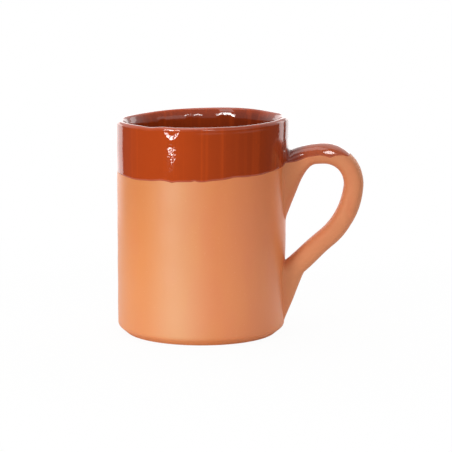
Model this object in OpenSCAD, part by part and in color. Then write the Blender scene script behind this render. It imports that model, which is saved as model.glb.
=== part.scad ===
// Clay mug with a dipped glaze and a pulled strap handle.
// Millimetres. The foot rests on z = 0, the cup's axis is Z and the handle points along +X.

/* [Cup] */
// Outside diameter over the glazed rim
rim_d = 84; // [80:0.5:90]
// How much less the bare clay measures across, just above the foot's bevel, than the glazed rim
foot_taper = 1.7; // [0:0.1:5]
// Height of the lip above the table
mug_h = 107.5; // [95:0.5:120]
// Clay thickness at the lip
lip_t = 3.8; // [3:0.1:5]
// Clay thickness at the bottom of the wall
wall_foot_t = 5.5; // [4:0.1:7]
// Thickness of the floor
floor_t = 6; // [4:0.5:8]
// Radius inside the cup where the wall meets the floor
corner_r = 8; // [4:0.5:12]
// Width of the bevel round the foot
bevel_w = 4.4; // [3:0.1:6]
// Height of the bevel round the foot
bevel_h = 3.7; // [2:0.1:4.5]

/* [Strap] */
// Finger room between the wall and the widest part of the strap
grip_gap = 28.5; // [25:0.5:33]
// Drop from the lip to the top of the strap
crown_drop = 13.5; // [11:0.5:17]
// Height of the strap's centre where its lower end meets the wall
lower_joint_h = 28.8; // [25:0.2:32]
// Thickness of the strap
strap_t = 9.8; // [8:0.1:11]
// Width of the strap at its upper end
strap_w_top = 16; // [13:0.5:20]
// Width of the strap at its lower end
strap_w_low = 13; // [10:0.5:16]
// Power of the strap's rounded section, 2 for an oval and more for flatter faces
strap_power = 2.6; // [2:0.1:3.2]
// Radius of the shallow rise from the wall to the crown, as a share of the strap's drop to its lower end
rise_r_share = 0.7; // [0.6:0.01:1]
// Radius of the tight bend over the crown, as a share of the same drop
crown_r_share = 0.245; // [0.2:0.005:0.28]
// Angle that the crown turns through, in degrees
crown_turn = 97.5; // [90:0.5:105]
// Radius of the open bend down the cheek, as a share of the same drop
cheek_r_share = 0.663; // [0.56:0.001:0.72]

/* [Joint clay] */
// Height of the thin lobe smeared up the wall above the strap
lobe_h = 8.5; // [5:0.5:10]
// How far the lobe stands out from the wall
lobe_reach = 1.4; // [0.8:0.1:2.5]
// Height of the web smeared down the wall under the strap, as a share of the strap's drop
web_h_share = 0.388; // [0.28:0.002:0.45]
// How far the web runs out along the strap
web_reach = 9.9; // [7:0.1:12]
// Width added to each side of the strap at the upper joint
flare_w = 5.5; // [3:0.1:7]
// How far that width runs out along the strap
flare_reach = 7; // [4:0.1:9]
// Height above the foot's bevel at which the tail smeared down from the lower joint ends
tail_clearance = 1.4; // [1:0.1:5]
// How far the tail runs out along the strap
tail_reach = 6.8; // [5:0.1:9]
// Width added to each side of the strap at the lower joint
tail_flare_w = 1; // [0.5:0.1:3]
// Thickness at the wall of the smear that runs all round each joint
smear_t = 0.5; // [0.3:0.1:0.8]

/* [Glaze] */
// Thickness of the glaze film
glaze_t = 0.35; // [0.2:0.05:0.5]
// Depth of the dip below the lip, measured on the cup's axis
dip_drop = 24.9; // [23:0.1:28]
// Lean of the dip line, in degrees
dip_lean = 3.9; // [1:0.1:5]
// Direction in which the dip line rises, in degrees round from the handle
dip_turn = 45; // [20:5:70]

/* [Hidden] */
$fn = 180;

clay_colour = [0.84, 0.54, 0.38];
strap_colour = [0.86, 0.52, 0.34];
joint_colour = [0.80, 0.46, 0.30];
glaze_colour = [0.56, 0.22, 0.10];
lining_colour = [0.44, 0.17, 0.09];

overrun = 1;

// Cup: radii of the bare clay, and the circle that rounds the lip
rim_r = rim_d / 2 - glaze_t;
foot_r = (rim_d - foot_taper) / 2;
lip_mid_r = rim_r - lip_t / 2;
lip_z = mug_h - glaze_t - lip_t / 2;
corner_z = floor_t + corner_r;

// Radius of the clay wall's outside at a height
function wall_r(z) = foot_r + (rim_r - foot_r) * (z - bevel_h) / (lip_z - bevel_h);

// Strap: its centreline is a shallow rise, a tight crown, an open cheek and a straight run.
// A station is [x, z, heading, outer swell, inner swell, side swell, half width]. The swells are joint clay.
ring_n = 24;
rise_n = 12;
crown_n = 12;
cheek_n = 5;
run_n = 12;
rise_spacing = 2;
blend_share = 0.4;
root_bury_share = 0.12;

crown_z = mug_h - crown_drop - strap_t / 2;
strap_drop = crown_z - lower_joint_h;
rise_r = strap_drop * rise_r_share;
crown_r = strap_drop * crown_r_share;
cheek_r = strap_drop * cheek_r_share;
web_h = strap_drop * web_h_share;
upper_wall_r = wall_r(crown_z);
lower_wall_r = wall_r(lower_joint_h);
crown_x = upper_wall_r + grip_gap + strap_t / 2 - crown_r;
root_bury = upper_wall_r * root_bury_share;

// Outward direction of the strap at a heading, and the direction of travel
function outward(heading) = [-sin(heading), cos(heading)];
function travel(heading) = [cos(heading), sin(heading)];

// The run is the tangent from the cheek's circle to the lower joint
crown_centre = [crown_x, crown_z - crown_r];
cheek_centre = crown_centre + (crown_r - cheek_r) * outward(-crown_turn);
lower_joint = [lower_wall_r, lower_joint_h];
to_joint = lower_joint - cheek_centre;
run_turn = 90 - atan2(to_joint[1], to_joint[0]) - acos(cheek_r / norm(to_joint));
run_start = cheek_centre + cheek_r * outward(-run_turn);

// Added thickness of smeared clay at a distance out from the wall: a ramp that blends into the strap
function swell(distance, reach, height) =
    let (depth = reach - distance, blend = reach * blend_share, slope = height / reach)
    depth < -blend ? 0
    : depth < blend ? slope * pow(depth + blend, 2) / (4 * blend)
    : slope * depth;

// The smear thins evenly from the wall to nothing where the joint's clay ends
upper_clay_l = max(web_reach, flare_reach) * (1 + blend_share);
lower_clay_l = tail_reach * (1 + blend_share);
function smear(distance, length) = smear_t * max(1 - distance / length, 0);

// The tail's face is a straight ramp from the strap's outer face to the tail's tip on the wall
tail_tip_h = bevel_h + tail_clearance;
tip_from_joint = [wall_r(tail_tip_h), tail_tip_h] - lower_joint;
tip_depth = tip_from_joint * travel(-run_turn);
tip_height = tip_from_joint * outward(-run_turn) - strap_t / 2 - smear_t;
tail_slope = tip_height / (tail_reach + tip_depth);
run_end = lower_joint + (tip_depth + overrun) * travel(-run_turn);
run_l = norm(run_end - run_start);

function rise_z(x) = crown_z - pow(crown_x - x, 2) / (2 * rise_r);
function rise_station(x) =
    let (out = max(x - upper_wall_r, 0), thin = smear(out, upper_clay_l))
    [x, rise_z(x), 0,
        thin + swell(out, lobe_reach, lobe_h),
        thin + swell(out, web_reach, web_h),
        thin + swell(out, flare_reach, flare_w)];
function bend_station(centre, radius, heading) =
    let (at = centre + radius * outward(heading))
    [at[0], at[1], heading, 0, 0, 0];
function run_station(share) =
    let (at = run_start + share * run_l * travel(-run_turn),
        depth = (at - lower_joint) * travel(-run_turn),
        out = max(-depth, 0),
        thin = smear(out, lower_clay_l))
    [at[0], at[1], -run_turn,
        thin + swell(-depth, tail_reach, tail_slope * tail_reach),
        thin,
        thin + swell(out, tail_reach, tail_flare_w)];

rise = concat([rise_station(upper_wall_r - root_bury)],
    [for (i = [0:rise_n])
        rise_station(upper_wall_r + (crown_x - upper_wall_r) * pow(i / rise_n, rise_spacing))]);
crown = [for (i = [1:crown_n]) bend_station(crown_centre, crown_r, -crown_turn * i / crown_n)];
cheek = [for (i = [1:cheek_n])
    bend_station(cheek_centre, cheek_r, -crown_turn - (run_turn - crown_turn) * i / cheek_n)];
run = [for (i = [1:run_n]) run_station(i / run_n)];

// The strap narrows evenly from its upper end to its lower end
path = concat(rise, crown, cheek, run);
path_end = len(path) - 1;
stations = [for (i = [0:path_end])
    concat(path[i], (strap_w_top + (strap_w_low - strap_w_top) * i / path_end) / 2)];

function is_swollen(s) = s[3] + s[4] + s[5] > 0;
upper_clay_end = len([for (s = rise) if (is_swollen(s)) s]);
lower_clay_start = path_end - len([for (s = run) if (is_swollen(s)) s]);
glazed_end = len(rise) + crown_n - 1;

// One ring of the section at a station, with its joint clay or without it, grown by a film
function power_step(value) = sign(value) * pow(abs(value), 2 / strap_power);
function ring(s, clay, film) =
    let (n = outward(s[2]), up = strap_t / 2 + clay * s[3] + film, down = strap_t / 2 + clay * s[4] + film,
        half_w = s[6] + clay * s[5] + film)
    [for (j = [0:ring_n - 1])
        let (a = 360 * j / ring_n, k = power_step(cos(a)) * (cos(a) > 0 ? up : down))
        [s[0] + n[0] * k, half_w * power_step(sin(a)), s[1] + n[1] * k]];
function rings(first, last, clay, film) = [for (i = [first:last]) ring(stations[i], clay, film)];

// Two triangles for each patch between neighbouring rings, always split along the same diagonal
function patch(a, b, c, d) = [[a, b, c], [a, c, d]];
function flipped(faces) = [for (f = faces) [f[2], f[1], f[0]]];

// A closed tube through the rings, with a flat cap on each end
module tube(list) {
    last = len(list) - 1;
    walls = [for (i = [0:last - 1], j = [0:ring_n - 1])
        let (m = (j + 1) % ring_n)
        each patch(i * ring_n + j, i * ring_n + m, (i + 1) * ring_n + m, (i + 1) * ring_n + j)];
    start_cap = [for (j = [ring_n - 1:-1:0]) j];
    end_cap = [for (j = [0:ring_n - 1]) last * ring_n + j];
    polyhedron([for (r = list) each r], concat(walls, [start_cap, end_cap]));
}

// A skin between outer and inner rings. A feathered end is a ring that both of them share.
module skin(outer, inner, feathered_start = false, feathered_end = false) {
    last = len(outer) - 1;
    first_inner = feathered_start ? 1 : 0;
    last_inner = feathered_end ? last - 1 : last;
    points = concat([for (r = outer) each r], [for (i = [first_inner:last_inner]) each inner[i]]);
    function outer_at(i, j) = i * ring_n + j;
    function inner_at(i, j) =
        i < first_inner || i > last_inner ? outer_at(i, j) : (last + 1 + i - first_inner) * ring_n + j;
    outer_walls = [for (i = [0:last - 1], j = [0:ring_n - 1])
        let (m = (j + 1) % ring_n)
        each patch(outer_at(i, j), outer_at(i, m), outer_at(i + 1, m), outer_at(i + 1, j))];
    inner_walls = [for (i = [0:last - 1], j = [0:ring_n - 1])
        let (m = (j + 1) % ring_n)
        each patch(inner_at(i, j), inner_at(i, m), inner_at(i + 1, m), inner_at(i + 1, j))];
    start_rim = [for (j = [0:ring_n - 1])
        let (m = (j + 1) % ring_n)
        each patch(inner_at(0, j), inner_at(0, m), outer_at(0, m), outer_at(0, j))];
    end_rim = [for (j = [0:ring_n - 1])
        let (m = (j + 1) % ring_n)
        each patch(outer_at(last, j), outer_at(last, m), inner_at(last, m), inner_at(last, j))];
    polyhedron(points, concat(outer_walls, flipped(inner_walls),
        feathered_start ? [] : start_rim, feathered_end ? [] : end_rim));
}

// Half section of the cup's outside up to the lip's centre, grown by a film
module outside_half(film) {
    polygon([[0, 0], [foot_r - bevel_w, 0], [foot_r + film, bevel_h], [rim_r + film, lip_z], [0, lip_z]]);
}

// Half section of the space inside the cup, shrunk by a film
module inside_half(film) {
    low_r = foot_r - wall_foot_t - film;
    high_r = rim_r - lip_t - film;
    polygon([[0, corner_z], [low_r, corner_z], [high_r, lip_z], [high_r, lip_z + overrun], [0, lip_z + overrun]]);
    translate([0, floor_t + film]) square([foot_r - wall_foot_t - corner_r, corner_r - film]);
    intersection() {
        translate([foot_r - wall_foot_t - corner_r, corner_z]) circle(corner_r - film);
        translate([foot_r - wall_foot_t - corner_r, floor_t]) square(corner_r);
    }
}

// Half section of the clay wall, floor and rounded lip, coated with a film
module wall_half(film) {
    difference() {
        outside_half(film);
        inside_half(film);
    }
    intersection() {
        translate([lip_mid_r, lip_z]) circle(lip_t / 2 + film);
        translate([0, lip_z]) square([rim_d, lip_t]);
    }
}

// Half section of the glaze film on the whole cup
module film_half() {
    difference() {
        wall_half(glaze_t);
        wall_half(0);
    }
}

// Half section of the space within the middle of the wall, from the floor to the lip's centre
module lined_half() {
    polygon([[0, floor_t], [foot_r - wall_foot_t / 2, floor_t], [lip_mid_r, lip_z], [0, lip_z]]);
}

// The cup's outside as a solid, which trims what is pressed onto the wall
module cup_form(film) {
    rotate_extrude() outside_half(film);
}

// All that stays out of the glaze when the mug is dipped
module below_dip() {
    rotate([0, 0, dip_turn]) translate([0, 0, mug_h - dip_drop]) rotate([0, -dip_lean, 0])
        translate([-mug_h, -mug_h, -mug_h]) cube([2 * mug_h, 2 * mug_h, mug_h]);
}

// Thrown cup of bare clay: floor, tapered wall, rounded lip and bevelled foot
module body() {
    color(clay_colour) rotate_extrude() wall_half(0);
}

// Pulled strap, trimmed at both ends to sit on the wall
module handle() {
    color(strap_colour) difference() {
        tube(rings(0, path_end, 0, 0));
        cup_form(0);
    }
}

// Clay pressed round the strap's upper end: lobe above, web below and a flare at each side
module upper_joint_clay() {
    color(joint_colour) difference() {
        skin(rings(0, upper_clay_end, 1, 0), rings(0, upper_clay_end, 0, 0), feathered_end = true);
        cup_form(0);
    }
}

// Clay smeared down the wall from the strap's lower end, ending in a tail above the foot
module lower_joint_clay() {
    color(joint_colour) difference() {
        skin(rings(lower_clay_start, path_end, 1, 0), rings(lower_clay_start, path_end, 0, 0),
            feathered_start = true);
        cup_form(0);
    }
}

// Glaze poured into the cup and out again, up to the lip
module glaze_lining() {
    color(lining_colour) rotate_extrude() intersection() {
        film_half();
        lined_half();
    }
}

// Glaze over the lip and down the outside to the dip line, open where the upper joint sits
module glaze_band() {
    color(glaze_colour) difference() {
        rotate_extrude() difference() {
            film_half();
            lined_half();
        }
        below_dip();
        tube(rings(0, upper_clay_end, 1, 0));
    }
}

// Glaze over the top of the strap and its joint clay, down to the same dip line
module glaze_handle() {
    color(glaze_colour) difference() {
        skin(rings(0, glazed_end, 1, glaze_t), rings(0, glazed_end, 1, 0));
        below_dip();
        cup_form(glaze_t);
    }
}

body();
handle();
upper_joint_clay();
lower_joint_clay();
glaze_lining();
glaze_band();
glaze_handle();
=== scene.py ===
# Clay mug with a dipped glaze, dressed over its fixed frame. Metres, +Z up, handle along +X.
import bisect
import itertools
import math

import bmesh
import bpy
from mathutils import Matrix, Vector, noise


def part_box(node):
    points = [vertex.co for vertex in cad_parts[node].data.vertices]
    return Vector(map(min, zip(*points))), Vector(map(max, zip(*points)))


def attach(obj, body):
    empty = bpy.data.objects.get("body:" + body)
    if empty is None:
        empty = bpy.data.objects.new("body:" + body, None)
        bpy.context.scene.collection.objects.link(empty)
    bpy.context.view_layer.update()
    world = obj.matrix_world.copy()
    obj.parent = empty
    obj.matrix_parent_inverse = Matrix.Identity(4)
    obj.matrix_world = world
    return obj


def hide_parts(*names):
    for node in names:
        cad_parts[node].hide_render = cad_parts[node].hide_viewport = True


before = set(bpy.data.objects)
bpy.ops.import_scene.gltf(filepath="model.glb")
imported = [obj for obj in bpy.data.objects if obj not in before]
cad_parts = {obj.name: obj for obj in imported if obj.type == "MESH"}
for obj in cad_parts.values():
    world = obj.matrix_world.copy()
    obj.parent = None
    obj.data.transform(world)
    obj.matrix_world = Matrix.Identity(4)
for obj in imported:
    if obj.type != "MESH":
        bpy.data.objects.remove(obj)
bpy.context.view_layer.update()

# The view
# A long lens on a level tripod, a little above the rim, swung slightly round from the cup's side
# so that the handle leans towards it.
mm = 0.001
view_swing = math.radians(4)
view_distance = 1200 * mm
view_height = 255.4 * mm
view_pitch = math.radians(9.603)
view_pan = math.radians(0.583)
view_roll = math.radians(0.185)
lens_length = 196.35
sensor_w = 36
nearest_seen = 0.05
farthest_seen = 20

lens = bpy.data.cameras.new("view")
lens.sensor_width = sensor_w
lens.lens = lens_length
lens.clip_start = nearest_seen
lens.clip_end = farthest_seen
camera = bpy.data.objects.new("view", lens)
bpy.context.collection.objects.link(camera)
camera.matrix_world = (
    Matrix.Rotation(view_swing, 4, "Z")
    @ Matrix.Translation((0, -view_distance, view_height))
    @ Matrix.Rotation(-view_pan, 4, "Z")
    @ Matrix.Rotation(math.pi / 2 - view_pitch, 4, "X")
    @ Matrix.Rotation(view_roll, 4, "Z")
)
bpy.context.scene.camera = camera
bpy.context.scene.view_settings.view_transform = "Standard"


# The thrown cup
# One piece of red clay, thrown on a wheel, trimmed round the foot and left bare outside.
# The hand leaves it a little out of round, with a lip that leans up towards the handle.
cup_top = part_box("glaze_band")[1][2]
foot_r = 41.15 * mm
rim_r = 41.65 * mm
glaze_t = 0.35 * mm
lip_t = 3.8 * mm
wall_foot_t = 5.5 * mm
floor_t = 6 * mm
corner_r = 8 * mm
bevel_w = 4.4 * mm
bevel_h = 3.7 * mm
bevel_low_round = 0.5 * mm
bevel_high_round = 1.1 * mm
lip_z = cup_top - glaze_t - lip_t / 2
lip_flat_share = 0.58
lip_outer_round_share = 0.33
lip_top_round_share = 0.2
lip_inner_round_share = 0.36
corner_round_share = 0.95
upper_z = 94 * mm
upper_taper = 0.22 * mm
outside_spacing = 1.2 * mm
inside_spacing = 2.4 * mm
upper_spacing = 0.8 * mm
cup_round_steps = 240
rounding_steps = 12
round_profile = 0.5
weld_gap = 0.001 * mm
level_slack = 0.01 * mm
lip_lean = 0.0224
lip_drop = 1.2 * mm
lean_power = 3
# Direction in degrees, width in degrees and height in millimetres of each wave of the lip
lip_waves = [(-124, 7, -0.35), (-113, 6, 0.22), (-60, 14, -0.2), (-15, 12, 0.25), (35, 15, -0.45),
             (70, 20, 0.2), (150, 30, -0.7)]
hand_patch = 24 * mm
hand_patch_squash = 0.35
hand_swell_mm = 0.25
hand_sunk_mm = 0.13
hand_rise = 3
throwing_ring_t = 0.05 * mm
throwing_ring_h = 3.1 * mm
throwing_ring_turn = 57
handle_pull = 0.95 * mm
handle_pull_turn = 4
handle_pull_w = 45
still_r = 25 * mm
lip_groove_drop = 2.3 * mm
lip_groove_depth = 0.12 * mm
lip_groove_w = 0.6 * mm
# Direction and width in degrees of each arc of the groove
lip_groove_arcs = [(-80, 9), (-52, 12), (30, 25)]
lip_dish_turn = -105.8
lip_dish_drop = 1.8 * mm
lip_dish_depth = 0.26 * mm
lip_dish_power = 1.3
lip_dish_floor = 0.58
lip_dish_edge = 1.1
lip_dish_w = 4.2 * mm
lip_dish_h = 4.1 * mm
lip_dish_top_squeeze = 3
lip_dent_turn = -106.6
lip_dent_drop = 9.7 * mm
lip_dent_depth = 0.2 * mm
lip_dent_w = 1.7 * mm
lip_lump_drop = 4.2 * mm
lip_lump_h = 2.2 * mm
# Direction in degrees, and width and height in millimetres, of each lump inside the lip
lip_lumps = [(75, 4.7, 1.7), (97, 1.7, 0.6), (103, 2.2, 0.9), (126, 2.4, 0.6)]


class Value:
    """A shader socket that takes part in ordinary sums."""

    def __init__(self, material, socket):
        self.material = material
        self.socket = socket

    def maths(self, operation, *values):
        return self.material.node("ShaderNodeMath", {"operation": operation}, dict(enumerate(values)))

    def __add__(self, other):
        return self.maths("ADD", self, other)

    def __sub__(self, other):
        return self.maths("SUBTRACT", self, other)

    def __mul__(self, other):
        return self.maths("MULTIPLY", self, other)

    def __truediv__(self, other):
        return self.maths("DIVIDE", self, other)

    __radd__ = __add__
    __rmul__ = __mul__

    def __rsub__(self, other):
        return self.maths("SUBTRACT", other, self)

    def clamped(self):
        return self.maths("MAXIMUM", self.maths("MINIMUM", self, 1), 0)

    def ramped(self, low, high):
        """Rises smoothly from 0 to 1 as the value goes from low to high."""
        step = ((self - low) / (high - low)).clamped()
        return step * step * (3 - 2 * step)


class Shading:
    """The node tree of a material or of the world."""

    def __init__(self, owner):
        owner.use_nodes = True
        self.data = owner
        self.nodes = owner.node_tree.nodes
        self.links = owner.node_tree.links

    def node(self, kind, settings, inputs, output=0):
        made = self.nodes.new(kind)
        for setting, value in settings.items():
            setattr(made, setting, value)
        for key, value in inputs.items():
            self.connect(made.inputs[key], value)
        return Value(self, made.outputs[output])

    def connect(self, target, value):
        if isinstance(value, Value):
            self.links.new(value.socket, target)
        else:
            target.default_value = value


class Material(Shading):
    """A node material with one principled shader."""

    def __init__(self, name):
        super().__init__(bpy.data.materials.new(name))
        self.shader = self.nodes["Principled BSDF"]
        self.object_point = self.node("ShaderNodeTexCoord", {}, {}, "Object")

    def set(self, **inputs):
        for name, value in inputs.items():
            self.connect(self.shader.inputs[name.replace("_", " ")], value)

    def stretched(self, stretch):
        return self.node("ShaderNodeMapping", {}, {"Vector": self.object_point, "Scale": stretch})

    def noise(self, stretch, scale, detail):
        return self.node("ShaderNodeTexNoise", {},
                         {"Vector": self.stretched(stretch), "Scale": scale, "Detail": detail})

    def mixed(self, factor, first, second):
        return self.node("ShaderNodeMix", {"data_type": "RGBA"}, {0: factor, 6: first, 7: second}, 2)

    def height(self):
        return self.node("ShaderNodeSeparateXYZ", {}, {"Vector": self.object_point}, "Z")

    def across(self):
        return self.node("ShaderNodeSeparateXYZ", {}, {"Vector": self.object_point}, "X")

    def from_axis(self):
        return self.node("ShaderNodeVectorMath", {"operation": "LENGTH"}, {0: self.stretched((1, 1, 0))}, 1)

    def near(self, place, stretch, reach, whole_to=0):
        """1 at a place, falling smoothly to 0 at its reach, in a space stretched along the axes."""
        centre = tuple(part * share for part, share in zip(place, stretch))
        distance = self.node("ShaderNodeVectorMath", {"operation": "DISTANCE"},
                             {0: self.stretched(stretch), 1: centre}, 1)
        return 1 - distance.ramped(whole_to, reach)

    def bumped(self, height, distance):
        return self.node("ShaderNodeBump", {}, {"Height": height, "Distance": distance, "Strength": 1})


def outside_r(z):
    """Radius of the clay wall's outside at a height."""
    return foot_r + (rim_r - foot_r) * (z - bevel_h) / (lip_z - bevel_h)


def bell(distance, width):
    """A smooth hump, 1 at the middle."""
    return math.exp(-((distance / width) ** 2))


def angle_gap(angle, centre):
    """Degrees between two directions round the cup, the short way."""
    return (angle - centre + 180) % 360 - 180


def hand_growth(point):
    """How far outwards the potter's hand left the wall at a point of the ideal cup."""
    angle = math.degrees(math.atan2(point.y, point.x))
    patch = Vector((point.x, point.y, point.z * hand_patch_squash)) / hand_patch
    rise = min(1, hand_rise * point.z / cup_top)
    swelling = (noise.noise(patch) * hand_swell_mm - hand_sunk_mm) * mm * rise
    ring = throwing_ring_t * math.sin(point.z / throwing_ring_h + angle / throwing_ring_turn)
    pull = handle_pull * bell(angle_gap(angle, handle_pull_turn), handle_pull_w) * point.z / cup_top
    return swelling + ring + pull


def eased(value, low, high):
    """Rises smoothly from 0 to 1 as the value goes from low to high."""
    step = min(max((value - low) / (high - low), 0), 1)
    return step * step * (3 - 2 * step)


def lip_marks(point, angle):
    """How far the groove, the dish and the dent that fingers left under the lip sink a point of the outside,
    and how far a point inside is lifted where the lip's inner edge was pushed up."""
    below_lip = cup_top - point.z
    if math.hypot(point.x, point.y) < rim_r - lip_t / 2:
        lift = sum(height * bell((math.radians(angle_gap(angle, turn)) * rim_r / mm / width) ** 2, 1)
                   for turn, width, height in lip_lumps)
        return 0, lift * mm * bell(below_lip - lip_lump_drop, lip_lump_h)
    arcs = sum(bell(angle_gap(angle, centre), width) for centre, width in lip_groove_arcs)
    groove = lip_groove_depth * arcs * bell(below_lip - lip_groove_drop, lip_groove_w)
    across = math.radians(angle_gap(angle, lip_dish_turn)) * rim_r / lip_dish_w
    down = (below_lip - lip_dish_drop) / lip_dish_h
    squeezed = down if down > 0 else lip_dish_top_squeeze * down
    reach = abs(across) ** lip_dish_power + abs(squeezed) ** lip_dish_power
    reach **= 1 / lip_dish_power
    dish = lip_dish_depth * min(max((lip_dish_edge - reach) / (lip_dish_edge - lip_dish_floor), 0), 1)
    beside = math.radians(angle_gap(angle, lip_dent_turn)) * rim_r
    dent = lip_dent_depth * bell(math.hypot(beside, below_lip - lip_dent_drop), lip_dent_w)
    return -groove - dish - dent, 0


def handmade(point):
    """Moves a point of the ideal cup to where the potter's hand left it."""
    angle = math.degrees(math.atan2(point.y, point.x))
    wave = sum(height * mm * bell(angle_gap(angle, centre), width) for centre, width, height in lip_waves)
    lean = (lip_lean * point.x - lip_drop + wave) * (point.z / cup_top) ** lean_power
    radius = math.hypot(point.x, point.y)
    sunk, lifted = lip_marks(point, angle)
    grown = 1 + (hand_growth(point) + sunk) / radius if radius > still_r else 1
    return Vector((point.x * grown, point.y * grown, point.z + lean + lifted))


def as_object(name, shape, material, smooth=True):
    """Turns a finished bmesh into an object at the origin."""
    mesh = bpy.data.meshes.new(name)
    shape.to_mesh(mesh)
    shape.free()
    mesh.polygons.foreach_set("use_smooth", [smooth] * len(mesh.polygons))
    piece = bpy.data.objects.new(name, mesh)
    bpy.context.collection.objects.link(piece)
    piece.data.materials.append(material)
    return piece


def spun_profile(points, spacing, round_steps):
    """Half section in the XZ plane, rounded at its marked corners and spun about Z."""
    shape = bmesh.new()
    corners = [shape.verts.new((r, 0, z)) for r, z, _ in points]
    for first, second in zip(corners, corners[1:]):
        shape.edges.new((first, second))
    for vert, (_, _, rounding) in list(zip(corners, points)):
        if rounding:
            bmesh.ops.bevel(shape, geom=[vert], affect="VERTICES", offset_type="OFFSET", offset=rounding,
                            segments=rounding_steps, profile=round_profile, material=-1)
    for edge in list(shape.edges):
        outside = min(vert.co.x for vert in edge.verts) > rim_r - lip_t / 2
        upper = min(vert.co.z for vert in edge.verts) >= upper_z - level_slack
        cuts = int(edge.calc_length() / (spacing if outside else upper_spacing if upper else inside_spacing))
        if cuts:
            bmesh.ops.subdivide_edges(shape, edges=[edge], cuts=cuts)
    bmesh.ops.spin(shape, geom=shape.verts[:] + shape.edges[:], cent=(0, 0, 0), axis=(0, 0, 1),
                   angle=2 * math.pi, steps=round_steps, use_merge=True)
    bmesh.ops.remove_doubles(shape, verts=shape.verts, dist=weld_gap)
    bmesh.ops.recalc_face_normals(shape, faces=shape.faces)
    return shape


def clay_material(name, roughness, specular, tint):
    """Bare red clay, smoothed wet: soft upright bands, a fine grain and a satin face. A pale upright band and
    a paler low body are painted sheen; the redder right side is painted shade.
    """
    clay = Material(name)
    pale = (0.745, 0.275, 0.085, 1)
    deep = (0.645, 0.215, 0.063, 1)
    # Painted shade: a redder colour for the right side, away from the key, where no sheen falls
    shaded_side_red = (0.73, 0.187, 0.072, 1)
    # Painted sheen: a paler colour for the key's sheen and the table's sheen on the satin clay
    painted_sheen = (0.77, 0.44, 0.225, 1)
    smudged = (0.69, 0.19, 0.08, 1)
    ember = (0.76, 0.26, 0.055, 1)
    blush = (0.68, 0.2, 0.095, 1)
    toasted = (0.8, 0.26, 0.065, 1)
    gritty = (0.95, 0.6, 0.36, 1)
    round_patch = 26 * mm
    ember_at = (-31 * mm, -26 * mm, 38 * mm)
    blush_at = (27 * mm, -31 * mm, 60 * mm)
    # Where the painted sheen band runs up the front left, and how far it spreads
    sheen_band_at = (-8.9 * mm, -40.6 * mm, 0)
    sheen_band_reach = 21 * mm
    shaded_side_x = (-20 * mm, 30 * mm)
    toasted_z = (2.2 * mm, 4.6 * mm)
    low_sheen_z = 62 * mm
    bands_share = 0.6
    patches_share = 0.4
    shaded_side_share = 0.6
    tint_share = 0.5
    smudged_share = 0.35
    ember_share = 0.4
    blush_share = 0.35
    sheen_band_share = 0.34
    low_sheen_band_share = 0.14
    low_sheen_share = 0.08
    toasted_share = 0.6
    gritty_share = 0.12
    tone_range = (0.32, 0.68)
    smudge_range = (0.42, 0.66)
    grain_range = (0.62, 0.8)
    rougher_patches = 0.1
    grain_bump = 0.3
    bump_t = 0.06 * mm
    # Stretch, scale per metre and detail of each noise
    bands = clay.noise((1, 1, 0.06), 38, 3)
    patches = clay.noise((1, 1, 0.5), 30, 2)
    grain = clay.noise((1, 1, 1), 1400, 2)
    smudges = clay.noise((1, 1, 0.35), 80, 3)
    tone = (bands * bands_share + patches * patches_share).ramped(*tone_range)
    foot = 1 - clay.height().ramped(*toasted_z)
    # Painted sheen: paler towards the bottom, from the table's light
    low = 1 - clay.height().ramped(0, low_sheen_z)
    # Painted sheen: a pale upright band where the key's sheen falls
    sheen_band = clay.near(sheen_band_at, (1, 1, 0), sheen_band_reach)
    body = clay.mixed(tone, deep, pale)
    # Painted shade: the clay turns redder towards the right side
    body = clay.mixed(clay.across().ramped(*shaded_side_x) * shaded_side_share, body, shaded_side_red)
    body = clay.mixed(tint_share, body, tint)
    body = clay.mixed(smudges.ramped(*smudge_range) * smudged_share, body, smudged)
    body = clay.mixed(clay.near(ember_at, (1, 1, 0.5), round_patch) * ember_share, body, ember)
    body = clay.mixed(clay.near(blush_at, (1, 1, 0.6), round_patch) * blush_share, body, blush)
    # Painted sheen mixed in over the band and the low body
    body = clay.mixed(sheen_band * (sheen_band_share + low * low_sheen_band_share) + low * low_sheen_share, body, painted_sheen)
    body = clay.mixed(foot * toasted_share, body, toasted)
    speckled = clay.mixed(grain.ramped(*grain_range) * gritty_share, body, gritty)
    clay.set(Base_Color=speckled, Roughness=patches * rougher_patches + roughness,
             Normal=clay.bumped(grain * grain_bump + bands, bump_t))
    clay.shader.inputs["Specular IOR Level"].default_value = specular
    return clay.data


lip_and_inside = [
    (rim_r, lip_z + lip_t / 2, lip_t * lip_outer_round_share),
    (rim_r - lip_t * lip_flat_share, lip_z + lip_t / 2, lip_t * lip_top_round_share),
    (rim_r - lip_t, lip_z + lip_t / 2 - lip_t, lip_t * lip_inner_round_share),
    (rim_r - lip_t - upper_taper, upper_z, 0),
    (foot_r - wall_foot_t, floor_t, corner_r * corner_round_share),
    (0, floor_t, 0),
]
foot_bevel = [(0, 0, 0), (foot_r - bevel_w, 0, bevel_low_round), (foot_r, bevel_h, bevel_high_round)]
cup_shape = spun_profile(foot_bevel + lip_and_inside, outside_spacing, cup_round_steps)
for vert in cup_shape.verts:
    vert.co = handmade(vert.co)
cup = as_object("thrown_cup", cup_shape, clay_material("turned_clay", 0.32, 0.5, (0.715, 0.245, 0.078, 1)))
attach(cup, "root")
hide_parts("body")


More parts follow.
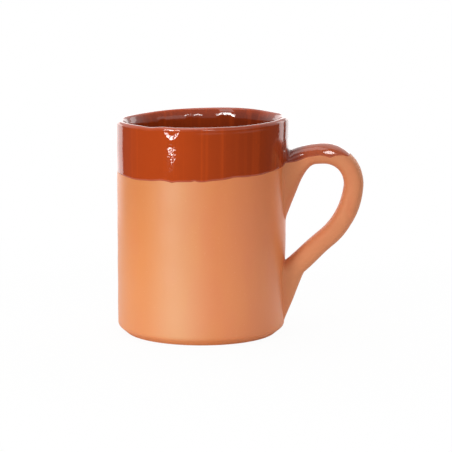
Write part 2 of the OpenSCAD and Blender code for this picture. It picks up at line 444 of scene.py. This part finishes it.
# The pulled strap and its joint clay
# A strap of the same clay, pulled out wet, bent over and pressed onto the wall at both ends.
# Soft clay is smeared round each joint: a lobe and a long web above, a narrow tail below.
strap_t = 9.8 * mm
strap_w_top = 16 * mm
strap_w_low = 13 * mm
strap_power = 2.6
grip_gap = 28.5 * mm
crown_drop = 13.5 * mm
lower_joint_h = 28.8 * mm
crown_z = cup_top - crown_drop - strap_t / 2
strap_drop = crown_z - lower_joint_h
rise_r_share = 0.7
crown_r_share = 0.245
cheek_r_share = 0.663
rise_r = strap_drop * rise_r_share
crown_r = strap_drop * crown_r_share
crown_turn = math.radians(97.5)
cheek_r = strap_drop * cheek_r_share
lobe_h = 8.5 * mm
lobe_reach = 1.4 * mm
web_h_share = 0.388
web_h = strap_drop * web_h_share
web_reach = 10.5 * mm
flare_w = 3.9 * mm
flare_reach = 7 * mm
tail_tip_h = 5.1 * mm
tail_reach = 9.4 * mm
tail_flare_w = 1 * mm
blend_share = 0.4
fillet_r = 0.8 * mm
bury = 2.2 * mm
root_overlap = 5 * mm
section_steps = 180
strap_steps = 340
strap_round_steps = 84
strap_weld_gap = 0.002 * mm
grid_half = 0.5
strap_patch = 11 * mm
strap_swell_mm = 0.3
strap_sunk = 0.1 * mm
cheek_clay_t = 0.3 * mm
cheek_clay_z = (66 * mm, 74 * mm)
joint_clay_t = 0.5 * mm
joint_clay_z = (36 * mm, 46 * mm)
thumb_flat_at = Vector((62.7 * mm, -7.4 * mm, 90.6 * mm))
thumb_flat_facing = Vector((0.0925, -0.956, 0.278))
thumb_flat_w = 3.8 * mm
thumb_flat_h = 1.8 * mm


def outward(heading):
    return Vector((-math.sin(heading), math.cos(heading)))


def thumbed_out(height):
    """Clay added to the strap's outer face where it was drawn down to the lower joint."""
    cheek = cheek_clay_t * (1 - eased(height, *cheek_clay_z))
    return cheek + joint_clay_t * (1 - eased(height, *joint_clay_z))


def travel(heading):
    return Vector((math.cos(heading), math.sin(heading)))


def swell(distance, reach, height):
    """Added thickness at a distance out from the wall: a ramp that blends into the strap."""
    depth = reach - distance
    blend = reach * blend_share
    slope = height / reach
    if depth < -blend:
        return 0
    if depth < blend:
        return slope * (depth + blend) ** 2 / (4 * blend)
    return slope * depth


upper_wall_r = outside_r(crown_z)
lower_joint = Vector((outside_r(lower_joint_h), lower_joint_h))
crown_x = upper_wall_r + grip_gap + strap_t / 2 - crown_r
crown_centre = Vector((crown_x, crown_z - crown_r))
cheek_centre = crown_centre + (crown_r - cheek_r) * outward(-crown_turn)
to_joint = lower_joint - cheek_centre
run_turn = math.pi / 2 - math.atan2(to_joint.y, to_joint.x) - math.acos(cheek_r / to_joint.length)
run_start = cheek_centre + cheek_r * outward(-run_turn)
tail_tip = Vector((outside_r(tail_tip_h), tail_tip_h)) - lower_joint
tail_depth = tail_tip.dot(travel(-run_turn))
tail_slope = (tail_tip.dot(outward(-run_turn)) - strap_t / 2) / (tail_reach + tail_depth)
run_end = lower_joint + (tail_depth + fillet_r / 2) * travel(-run_turn)

rise_l = crown_x - upper_wall_r + root_overlap
crown_l = crown_r * crown_turn
cheek_l = cheek_r * (run_turn - crown_turn)
run_l = (run_end - run_start).length
strap_l = rise_l + crown_l + cheek_l + run_l


def strap_station(along):
    """Centre, heading and the added clay outside, inside and at the sides, at a length along the strap."""
    if along < rise_l:
        x = crown_x - rise_l + along
        out = max(x - upper_wall_r, 0)
        centre = Vector((x, crown_z - (crown_x - x) ** 2 / (2 * rise_r)))
        return (centre, 0, swell(out, lobe_reach, lobe_h), swell(out, web_reach, web_h),
                swell(out, flare_reach, flare_w))
    along -= rise_l
    if along < crown_l:
        heading = -along / crown_r
        return crown_centre + crown_r * outward(heading), heading, 0, 0, 0
    along -= crown_l
    if along < cheek_l:
        heading = -crown_turn - along / cheek_r
        centre = cheek_centre + cheek_r * outward(heading)
        return centre, heading, thumbed_out(centre.y), 0, 0
    along -= cheek_l
    centre = run_start + along * travel(-run_turn)
    depth = (centre - lower_joint).dot(travel(-run_turn))
    added = max(swell(-depth, tail_reach, tail_slope * tail_reach), thumbed_out(centre.y))
    return centre, -run_turn, added, 0, swell(max(-depth, 0), tail_reach, tail_flare_w)


def power_step(value):
    return math.copysign(abs(value) ** (2 / strap_power), value)


def pressed_on(point, spread):
    """A point of the strap with the fillet of clay at the wall, the marks of the hand and the thumbed flat,
    and no deeper in the wall than its burial."""
    wall = outside_r(point.z) + hand_growth(point)
    gap = min(max(math.hypot(point.x, point.y) - wall, 0), fillet_r)
    away = max(spread.normalized().dot(Vector((point.x, point.y, 0)).normalized()), 0)
    fillet = (fillet_r - math.sqrt(fillet_r ** 2 - (fillet_r - gap) ** 2)) * (1 - away) ** 2
    hand = noise.noise(point / strap_patch) * strap_swell_mm * mm - strap_sunk
    placed = point + spread.normalized() * (fillet + hand)
    aside = placed - thumb_flat_at
    apart = math.hypot(aside.x / thumb_flat_w, aside.y / thumb_flat_w, aside.z / thumb_flat_h)
    placed -= thumb_flat_facing * aside.dot(thumb_flat_facing) * bell(apart ** 2, 1)
    radius = math.hypot(placed.x, placed.y)
    pushed = max(radius, wall - bury) / radius
    return Vector((placed.x * pushed, placed.y * pushed, placed.z))


def strap_ring(along, count):
    """Evenly spaced points round the strap's skin, from its outer face round."""
    centre, heading, outer, inner, side = strap_station(along)
    normal = outward(heading)
    half_w = (strap_w_top + (strap_w_low - strap_w_top) * along / strap_l) / 2 + side
    turns = [2 * math.pi * step / section_steps for step in range(section_steps + 1)]
    section = [(power_step(math.cos(turn)) * (strap_t / 2 + (outer if math.cos(turn) > 0 else inner)),
                power_step(math.sin(turn)) * half_w) for turn in turns]
    lengths = list(itertools.accumulate(map(math.dist, section, section[1:]), initial=0))
    ring = []
    for step in range(count):
        reached = lengths[-1] * step / count
        after = bisect.bisect_right(lengths, reached)
        share = (reached - lengths[after - 1]) / (lengths[after] - lengths[after - 1])
        lift, reach = (a + (b - a) * share for a, b in zip(section[after - 1], section[after]))
        spread = Vector((normal.x * lift, reach, normal.y * lift))
        ring.append(pressed_on(Vector((centre.x, 0, centre.y)) + spread, spread))
    return ring


def strap_skin(length, along_steps, round_steps):
    """The strap's skin from its upper root to a length along it, closed at both ends."""
    rings = [strap_ring(length * step / along_steps, round_steps) for step in range(along_steps + 1)]
    shape = bmesh.new()
    bmesh.ops.create_grid(shape, x_segments=along_steps, y_segments=round_steps, size=grid_half)
    for vert in shape.verts:
        along = round((vert.co.x + grid_half) * along_steps)
        turn = round((vert.co.y + grid_half) * round_steps)
        vert.co = rings[along][turn % round_steps]
    bmesh.ops.remove_doubles(shape, verts=shape.verts, dist=strap_weld_gap)
    bmesh.ops.holes_fill(shape, edges=[edge for edge in shape.edges if edge.is_boundary], sides=0)
    bmesh.ops.recalc_face_normals(shape, faces=shape.faces)
    return shape


strap = as_object("pulled_strap", strap_skin(strap_l, strap_steps, strap_round_steps),
                  clay_material("wiped_clay", 0.55, 0.3, (0.56, 0.255, 0.125, 1)))
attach(strap, "root")
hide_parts("handle", "upper_joint_clay", "lower_joint_clay")


# The glaze
# A clear brown glaze, poured round the inside and dipped over the lip and the handle's top.
# It runs down to a leaning, wavy dip line, where it ends in a rounded bead.
dip_h = 82.65 * mm
dip_rise_x = 0.0483
dip_rise_y = 0.0487
edge_t = 0.22 * mm
sunk_t = 0.1 * mm
edge_z = (-0.4 * mm, 0.5 * mm)
full_film_h = 12 * mm
glaze_low_z = 76 * mm
glaze_spacing = 0.34 * mm
glaze_round_steps = 480
strap_glaze_steps = 280
strap_glaze_round_steps = 168
# Direction in degrees, width in degrees and height in millimetres of each wave of the dip line
dip_waves = [(-136, 8, -0.35), (-114, 5, 0.5), (-106, 2, -0.35), (-90.5, 1.3, 0.4), (-85, 3.5, -0.35),
             (-63, 5, 0.55), (-43, 8, -0.25), (20, 12, 0.3), (60, 9, -0.4), (95, 12, 0.45), (140, 10, -0.3),
             (180, 14, 0.3)]
# Place along X, width and height in millimetres of each wave of the line on the strap
strap_dip_waves = [(58, 3, 0.45), (63.4, 1.6, -0.9), (72, 1.6, -0.9)]
strap_dip_gap = (0.3 * mm, 1.8 * mm)
strap_dip_lift = 1.75 * mm
strap_dip_more = 2 * mm
strap_dip_more_x = (46 * mm, 54 * mm)


def above_dip(point):
    """Height of a point above the wavy dip line, which runs higher along the strap."""
    angle = math.degrees(math.atan2(point.y, point.x))
    wave = sum(height * mm * bell(angle_gap(angle, centre), width) for centre, width, height in dip_waves)
    off_wall = [rim_r + gap for gap in strap_dip_gap]
    on_strap = eased(math.hypot(point.x, point.y), *off_wall)
    lift = strap_dip_lift + strap_dip_more * eased(point.x, *strap_dip_more_x)
    lift += sum(height * mm * bell(point.x / mm - centre, width) for centre, width, height in strap_dip_waves)
    return point.z - dip_h - dip_rise_x * point.x - dip_rise_y * point.y - wave - lift * on_strap


def film(height):
    """Thickness of the glaze at a height above its edge, and below nought under it."""
    return ((edge_t + sunk_t) * eased(height, *edge_z) - sunk_t
            + (glaze_t - edge_t) * eased(height, 0, full_film_h))


def coat_with_glaze(shape, thickness_at):
    """Moves each point out by the film's thickness there, and keeps that thickness for the shading."""
    layer = shape.verts.layers.float.new("film")
    for vert, normal in [(vert, vert.normal.copy()) for vert in shape.verts]:
        thickness = thickness_at(vert.co)
        vert[layer] = thickness / glaze_t
        vert.co += normal * thickness


def glaze_material():
    """Glossy brown glaze, darker where it lies thick and warmer where it thins, over red clay. It is darker
    inside the cup, and painted shade darkens it deeper inside, towards the right and the far left edge, and
    at the handle's root.
    """
    glaze = Material("brown_glaze")
    thin = (0.47, 0.061, 0.009, 1)
    # Dark brown of thick glaze, also used for painted shade
    thick_and_shaded = (0.20, 0.026, 0.007, 1)
    crown_tint = (0.42, 0.08, 0.024, 1)
    # Painted shade on the glaze at the handle's root, where the wall shades it
    root_shade = (0.19, 0.026, 0.012, 1)
    edge_tint = (0.41, 0.05, 0.001, 1)
    glaze_ior = 1.6
    inside_r = (38.1 * mm, 39.4 * mm)
    # Heights over which painted shade deepens inside the cup
    shade_deep_inside_z = (84 * mm, 104 * mm)
    crown_x_range = (43 * mm, 56 * mm)
    root_from_x = (41.9 * mm, 42.5 * mm)
    root_to_x = (46 * mm, 52 * mm)
    grit_at = (-11.3 * mm, -40.1 * mm, 92 * mm)
    grit_core = 0.8 * mm
    grit_reach = 3.6 * mm
    # Painted shade: the glaze darkens towards the right, away from the key, and towards the far left edge
    shade_right_x = (-20 * mm, 32 * mm)
    shade_left_x = (-40 * mm, -24 * mm)
    shade_right_share = 0.5
    shade_left_share = 0.3
    runs_share = 0.25
    clouds_share = 0.25
    inside_share = 0.5
    shade_deep_inside_share = 0.3
    thinner_share = 0.2
    threads_share = 0.34
    crown_share = 0.75
    root_shade_share = 0.8
    edge_share = 0.9
    edge_range = (0.1, 0.6)
    threads_range = (0.5, 0.7)
    glossy = 0.04
    rougher_clouds = 0.04
    rougher_edge = 0.7
    rougher_root = 0.12
    pimple_bump = 0.2
    gritty_bump = 1.3
    clouds_bump = 0.7
    runs_bump = 0.7
    bump_t = 0.14 * mm
    film_t = glaze.node("ShaderNodeAttribute", {"attribute_name": "film"}, {}, "Fac")
    edge = 1 - film_t.ramped(*edge_range)
    # Stretch, scale per metre and detail of each noise
    runs = glaze.noise((1, 1, 0.06), 55, 3)
    threads = glaze.noise((1, 1, 0.008), 300, 2)
    clouds = glaze.noise((1, 1, 1), 26, 2)
    pimples = glaze.noise((1, 1, 1), 1100, 1)
    across = glaze.across()
    # Painted shade towards the right side and the far left edge
    side = across.ramped(*shade_right_x) * shade_right_share + (1 - across.ramped(*shade_left_x)) * shade_left_share
    inside = 1 - glaze.from_axis().ramped(*inside_r)
    # Painted shade: darker deeper down inside the cup
    shade_deep_inside = inside * (1 - glaze.height().ramped(*shade_deep_inside_z))
    depth = side + runs * runs_share + clouds * clouds_share
    depth = depth + inside * inside_share + shade_deep_inside * shade_deep_inside_share - thinner_share
    tone = glaze.mixed((depth - threads.ramped(*threads_range) * threads_share).clamped(), thin, thick_and_shaded)
    tone = glaze.mixed(across.ramped(*crown_x_range) * crown_share, tone, crown_tint)
    # Painted shade: darker glaze round the handle's root; the same mask also makes it rougher
    root = across.ramped(*root_from_x) * (1 - across.ramped(*root_to_x))
    tone = glaze.mixed(root * root_shade_share, tone, root_shade)
    gritty = glaze.near(grit_at, (1, 1, 0.42), grit_reach, grit_core)
    relief = pimples * (pimple_bump + gritty * gritty_bump) + clouds * clouds_bump + runs * runs_bump
    glaze.set(Base_Color=glaze.mixed(edge * edge_share, tone, edge_tint),
              Roughness=glossy + clouds * rougher_clouds + edge * rougher_edge + root * rougher_root,
              Normal=glaze.bumped(relief, bump_t))
    glaze.shader.inputs["IOR"].default_value = glaze_ior
    return glaze.data


brown_glaze = glaze_material()
glaze_foot = [(outside_r(glaze_low_z), glaze_low_z, 0)]
glaze_shape = spun_profile(glaze_foot + lip_and_inside, glaze_spacing, glaze_round_steps)


def cup_film(point):
    """The film is whole inside and over the lip, and ends at the dip line outside."""
    outside = math.hypot(point.x, point.y) > rim_r - lip_t / 2
    return film(above_dip(point)) if outside and point.z < lip_z else glaze_t


for vert in glaze_shape.verts:
    vert.co = handmade(vert.co)
glaze_shape.normal_update()
coat_with_glaze(glaze_shape, cup_film)
coat = as_object("dipped_glaze", glaze_shape, brown_glaze)
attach(coat, "root")
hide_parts("glaze_lining", "glaze_band")

strap_glaze_shape = strap_skin(rise_l + crown_l, strap_glaze_steps, strap_glaze_round_steps)
strap_glaze_shape.normal_update()
coat_with_glaze(strap_glaze_shape, lambda point: film(above_dip(point)))
strap_coat = as_object("dipped_glaze_on_strap", strap_glaze_shape, brown_glaze)
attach(strap_coat, "root")
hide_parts("glaze_handle")


# The table and the light
# A plain white sheet under soft light: a narrow tall key with a brighter core at the front left, a box
# overhead, a weak fill at the front right, a small window in front, a strip behind on the right and a
# long low panel behind.
straight_back = math.degrees(view_swing) + 90
lamp_aim = Vector((0, 0, 0.06))
# Name, width, height and watts, then degrees right of straight back, distance and height of the place
lamps = [
    ("key", 0.22, 0.56, 2.3, -140, 1.1, 0.35),
    ("key_core", 0.2, 0.25, 3, -140, 1.08, 0.2),
    ("overhead_box", 0.9, 0.9, 4.4, -109, 0.3, 1.2),
    ("fill_card", 1.3, 0.5, 1.3, 140, 1.2, 0.55),
    ("right_strip", 0.22, 0.8, 0.9, 50, 0.9, 0.15),
    ("back_panel", 1.7, 0.6, 5, -7.5, 1, 0.05),
    ("front_window", 0.3, 0.2, 2.2, 171, 1.2, 0.62),
]
room_front = 0.36
room_back = 1
room_below = 0.1
room_facing = (-0.1, 0.6)
room_horizon = (-0.12, 0.02)
sheet_white = (0.88, 0.88, 0.88, 1)
sheet_roughness = 0.9
sheet_lost = 0.95
sheet_fade_from = 0.12
sheet_reach = 0.28


def place_at(turn, distance, height):
    """A place at an angle right of straight back, seen from the mug."""
    angle = math.radians(straight_back - turn)
    return Vector((distance * math.cos(angle), distance * math.sin(angle), height))


def lamp(name, size_x, size_y, power, place):
    light = bpy.data.lights.new(name, "AREA")
    light.shape = "RECTANGLE"
    light.size = size_x
    light.size_y = size_y
    light.energy = power
    holder = bpy.data.objects.new(name, light)
    bpy.context.collection.objects.link(holder)
    holder.location = place
    holder.rotation_euler = (lamp_aim - place).to_track_quat("-Z", "Y").to_euler()
    holder.visible_camera = False


for name, size_x, size_y, power, *place in lamps:
    lamp(name, size_x, size_y, power, place_at(*place))


def white_room():
    """White to the eye, and otherwise bright behind the mug, dimmer in front and dark under the table."""
    world = bpy.data.worlds.new("white_room")
    room = Shading(world)
    direction = room.node("ShaderNodeTexCoord", {}, {}, "Generated")
    behind = Vector((math.cos(math.radians(straight_back)), math.sin(math.radians(straight_back)), 0))
    facing = room.node("ShaderNodeVectorMath", {"operation": "DOT_PRODUCT"}, {0: direction, 1: behind}, 1)
    height = room.node("ShaderNodeSeparateXYZ", {}, {"Vector": direction}, "Z")
    soft = room_front + (room_back - room_front) * facing.ramped(*room_facing)
    soft = soft * (room_below + (1 - room_below) * height.ramped(*room_horizon))
    seen = room.node("ShaderNodeLightPath", {}, {}, "Is Camera Ray")
    room.connect(room.nodes["Background"].inputs["Strength"], seen + soft * (1 - seen))
    room.connect(room.nodes["Background"].inputs["Color"], (1, 1, 1, 1))
    bpy.context.scene.world = world


def sheet_material():
    """Matt white card. To the eye it is nearly lost in the white behind it, but for the mug's soft shadow."""
    sheet = Material("white_sheet")
    sheet.set(Base_Color=sheet_white, Roughness=sheet_roughness)
    seen = sheet.node("ShaderNodeLightPath", {}, {}, "Is Camera Ray")
    lost = seen * (sheet_lost + sheet.from_axis().ramped(sheet_fade_from, sheet_reach) * (1 - sheet_lost))
    glow = sheet.node("ShaderNodeEmission", {}, {"Color": (1, 1, 1, 1), "Strength": 1})
    card = Value(sheet, sheet.shader.outputs[0])
    mixed = sheet.node("ShaderNodeMixShader", {}, {0: lost, 1: card, 2: glow})
    sheet.connect(sheet.nodes["Material Output"].inputs["Surface"], mixed)
    return sheet.data


white_room()
sheet_shape = bmesh.new()
bmesh.ops.create_grid(sheet_shape, x_segments=1, y_segments=1, size=sheet_reach)
sheet = as_object("sheet", sheet_shape, sheet_material(), smooth=False)
